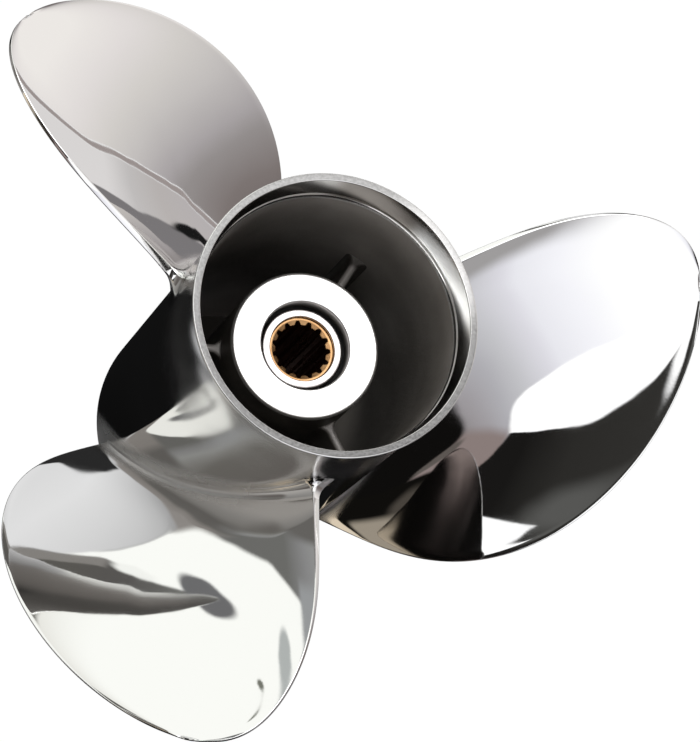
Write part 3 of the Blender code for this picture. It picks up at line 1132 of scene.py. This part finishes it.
# %% Upper left blade
def light_upper_blade(room):
    side = room.past(-35.0).step(-6.0, 6.0) * room.before(66.0, 2.0)
    side = side * room.under(30.0, 55.0) * room.elevation.step(-60.0, -45.0)
    fade = (room.azimuth + 0.9 * room.elevation + 10.0) / 65.0
    wall = [(0.0, 108, 100, 98), (0.14, 124, 116, 114), (0.265, 146, 141, 140),
            (0.33, 167, 162, 163), (0.46, 193, 189, 187), (0.57, 208, 204, 200),
            (0.70, 223, 218, 216), (0.85, 236, 232, 228)]
    room.paint(side, room.tones(fade, wall))
    table = room.over(29.0, -18.6, 0.05, 1.08, 5.0)
    cloth = [(0.40, 178, 173, 174), (0.61, 180, 175, 173),
             (0.74, 189, 186, 185), (0.84, 214, 211, 210)]
    fade = (room.azimuth + 0.5 * room.elevation + 10.0) / 50.0
    room.paint(side * table.fall(-2.6, -2.0), room.tones(fade, cloth))
    room.paint(side * room.band(table, -1.1, 1.0, 0.4), 152, 143, 141)
    room.paint(side * room.band(table, 0.0, 0.22, 0.2) * 0.8, 236)
    room.paint(side * room.band(table, -2.4, 0.2, 0.2) * 0.6, 226)
    below = room.over(31.0, -32.8, -0.6, 0.45, 3.0)
    room.paint(side * below.fall(-0.6, 0.6), 118, 115, 116)
    room.paint(side * room.spot(31.5, -29.0, 5.0, 1.3, -20.0, 0.2), 24)
    room.paint(side * room.under(-52.0, -38.0), 80)


light_upper_blade(studio)
print("nodes so far:", len(studio.tree.nodes))

# %% [markdown]
# ## What the right blade mirrors
#
# The blade at the right sees a pale wall with a bright window, a dark curtain with folds and a
# small lamp under it, and a black floor with something beige lying on it. Its root also mirrors
# its neighbour's forward side, and `beyond` is what that shows: a stretch of the mauve wall.

# %% Right blade
def light_right_blade(room):
    side = room.past(-44.0).fall(-6.0, 6.0)
    side = side * room.under(60.0, 66.0) * room.elevation.step(-60.0, -45.0)
    fade = (room.elevation + 0.7 * (room.azimuth + 90.0)) / 50.0
    wall = [(0.0, 135, 130, 130), (0.1, 155, 151, 154), (0.24, 174, 173, 178),
            (0.36, 193, 193, 197), (0.53, 219, 218, 225), (0.60, 232, 232, 238),
            (0.80, 245, 245, 250), (1.0, 258)]
    room.paint(side, room.tones(fade, wall))
    room.paint(side * room.past(-65.5).step(-2.5, 4.0) * room.under(16.0, 34.0), 158, 156, 156)
    window = room.over(-108.0, 28.3, -0.28, 0.8, 3.0)
    room.paint(side * window.step(-0.5, 0.5), 262)
    mauve = room.past(-120.5).fall(-2.0, 2.5)
    mauve = mauve * room.over(-121.0, 32.0, 0.0).fall(-1.0, 1.0)
    room.paint(side * mauve, 137, 124, 121)

    curtain = room.over(-117.0, 46.0, 3.5, 0.5, 3.0).step(-0.5, 0.5)
    curtain = curtain * room.over(-127.0, 31.2, 0.4, 0.15, 3.0).step(-0.35, 0.35)
    curtain = curtain * room.under(56.0, 57.0)
    folds = [(0.2, 24, 23, 22), (0.5, 43, 42, 40), (0.9, 48, 47, 45)]
    room.paint(side * curtain, room.tones((room.elevation - 30.0) / 30.0, folds))
    room.paint(side * curtain * room.spot(-141.0, 48.0, 9.0, 4.5, 25.0, 0.6), 86, 86, 84)
    lamp = room.before(-147.2, 0.3) * room.over(-147.0, 45.0, 0.42).fall(-0.3, 0.3)
    lamp = lamp * room.elevation.step(30.0, 34.0)
    room.paint(side * lamp, 262)

    floor = room.over(-120.5, 24.0, 0.42, -0.52, 3.0).fall(-0.7, 0.7)
    room.paint(side * floor, 14, 13, 12)
    room.paint(side * room.before(-133.0, 1.0) * room.under(24.0, 26.0), 15, 14, 12)
    room.paint(side * room.spot(-127.5, 21.0, 5.0, 1.0, 26.0, 0.3), 92, 86, 82)
    room.paint(side * room.spot(-145.5, 20.2, 7.0, 2.0, 0.0, 0.5), 72, 67, 61)
    rug = side * room.before(-151.5, 3.0) * room.elevation.step(7.0, 11.0) * room.under(20.5, 22.0)
    room.paint(rug, 150, 141, 127)
    beige = room.before(-133.0, 2.0)
    beige = beige * room.over(-145.0, -0.3, -0.75, -0.5).fall(-0.6, 0.6)
    beige = beige * room.elevation.step(-12.0, -7.0)
    room.paint(side * beige, 216, 201, 178)

    beyond = room.over(-89.5, -17.2, -0.33, -0.08, 2.0).step(-0.25, 0.25)
    beyond = beyond * room.past(-107.5).step(-0.8, 0.8) * room.under(-7.0, -4.0)
    beyond = beyond * (1.0 - room.past(-94.0).step(-0.8, 0.8) * room.under(-15.0, -14.4))
    beyond = beyond * room.before(-84.0, 2.0)
    room.paint(side * beyond, 181, 165, 161)
    room.paint(side * room.spot(-77.0, -18.5, 3.0, 0.35, 0.0, 0.3), 172, 162, 159)


light_right_blade(studio)
print("nodes so far:", len(studio.tree.nodes))

# %% [markdown]
# ## What the lower left blade mirrors
#
# The blade at the lower left sees white paper, with the dark shapes of things standing on it: a
# long dark band, a small dark blob at its end, and a grey lobe beside it. Its root and the barrel
# next to it see a wide grey field behind the paper. This part lies across the azimuth of 180
# degrees, so `turn` counts on past it.

# %% Lower left blade
def light_lower_blade(room):
    beside = room.azimuth.below(0.0)
    turn = room.azimuth + 360.0 * beside

    def right_of(azimuth, soft):
        return turn.step(azimuth - soft, azimuth + soft)

    side = turn.step(64.0, 68.0)
    side = side * (1.0 - turn.step(192.0, 194.0) * room.elevation.step(2.0, 5.0))
    side = side * turn.fall(206.0, 209.0)
    side = side * room.under(56.0, 62.0) * room.elevation.step(-58.0, -44.0)
    room.paint(side, 250, 251, 246)
    greyer = side * (1.0 - right_of(92.0, 9.0)) * room.elevation.step(6.0, 12.0)
    room.paint(greyer, 226, 225, 218)

    edge = room.over(113.5, -10.3, 0.0, 0.8, 3.0)
    field = 1.0 - (edge * (1.0 - beside)).step(-0.9, 0.9) * (1.0 - beside)
    field = field * right_of(104.5, 1.5)
    high = [(0.0, 104, 103, 101), (0.28, 106, 106, 103), (0.36, 134, 134, 134),
            (0.42, 146, 147, 145), (0.49, 128, 127, 124), (0.55, 108, 106, 102),
            (0.80, 92, 87, 84), (1.0, 134, 131, 127)]
    deep = [(0.0, 138, 134, 130), (0.20, 132, 128, 124), (0.30, 100, 98, 95),
            (0.47, 98, 96, 93), (0.60, 128, 126, 123), (0.75, 140, 138, 135),
            (0.95, 158, 155, 151)]
    across = (turn - 110.0) / 80.0
    rising = room.elevation.step(-10.0, -6.5)
    room.paint(side * field, room.mix(rising, room.tones(across, deep), room.tones(across, high)))

    turned_edge = room.over(104.0, -11.0, -1.0, -0.03, 2.0)
    lobe = turned_edge.fall(-0.5, 0.5) * (1.0 - right_of(106.5, 1.0))
    tones = [(0.0, 213), (0.23, 223), (0.42, 209),
             (0.54, 197), (0.64, 182), (0.71, 164)]
    room.paint(side * lobe, room.tones((turn - 70.0) / 50.0, tones))
    line = side * room.band(turned_edge, 0.0, 0.45, 0.4) * room.band(turn, 99.5, 6.5, 2.0)
    room.paint(line * 0.4, 146)

    low = room.over(94.5, 0.9, -0.58, 0.3, 1.5)
    band = low.step(-0.4, 0.4) * room.over(100.0, 13.0, -0.3).fall(-0.6, 0.6)
    band = band * (1.0 - right_of(112.5, 1.5))
    shades = [(0.0, 88, 86, 82), (0.5, 86, 84, 82), (1.0, 105, 105, 102)]
    room.paint(side * band, room.tones((turn - 90.0) / 20.0, shades))
    lit = side * band * low.fall(1.9, 2.4) * (1.0 - right_of(95.5, 1.0))
    room.paint(lit, 130, 127, 123)
    spots = [
        ((100.5, 2.7, 4.2, 1.2, 8.0, 0.3), (242, 243, 238)),
        ((114.6, 7.2, 8.2, 2.3, 45.0, 0.16), (106, 106, 107)),
        ((131.5, 18.0, 3.8, 1.4, 82.0, 0.25), (174, 178, 176)),
        ((127.8, 24.7, 0.9, 0.5, 0.0, 0.4), (112, 114, 104)),
        ((109.5, -29.5, 7.0, 4.0, -15.0, 0.3), (198,)),
    ]
    for place, tone in spots:
        room.paint(side * room.spot(*place), *tone)

    corner = room.over(85.0, -20.0, -0.33, -0.03, 3.0).fall(-0.5, 0.5)
    corner = corner * (1.0 - (turn + 2.0 * room.elevation).step(46.0, 50.0))
    room.paint(side * corner, 40)
    room.paint(side * room.band(turn, 132.0, 8.0, 3.0) * room.under(-31.0, -29.0), 25)
    strip = right_of(135.6, 0.6) * (1.0 - right_of(146.0, 3.0)) * room.elevation.step(1.0, 6.0)
    room.paint(side * strip, 150, 152, 153)


light_lower_blade(studio)
print("nodes so far:", len(studio.tree.nodes))

# %% [markdown]
# ## Hanging the studio
#
# The room is only there for reflections. A low camera also looks past the floor's edge, and would
# see it, so a Light Path node puts plain white paper there for the camera's own rays. The standard
# view transform keeps white paper white.

# %% Hang the studio
studio.hang()
bpy.context.scene.view_settings.view_transform = "Standard"
print("studio ready with", len(studio.tree.nodes), "nodes")
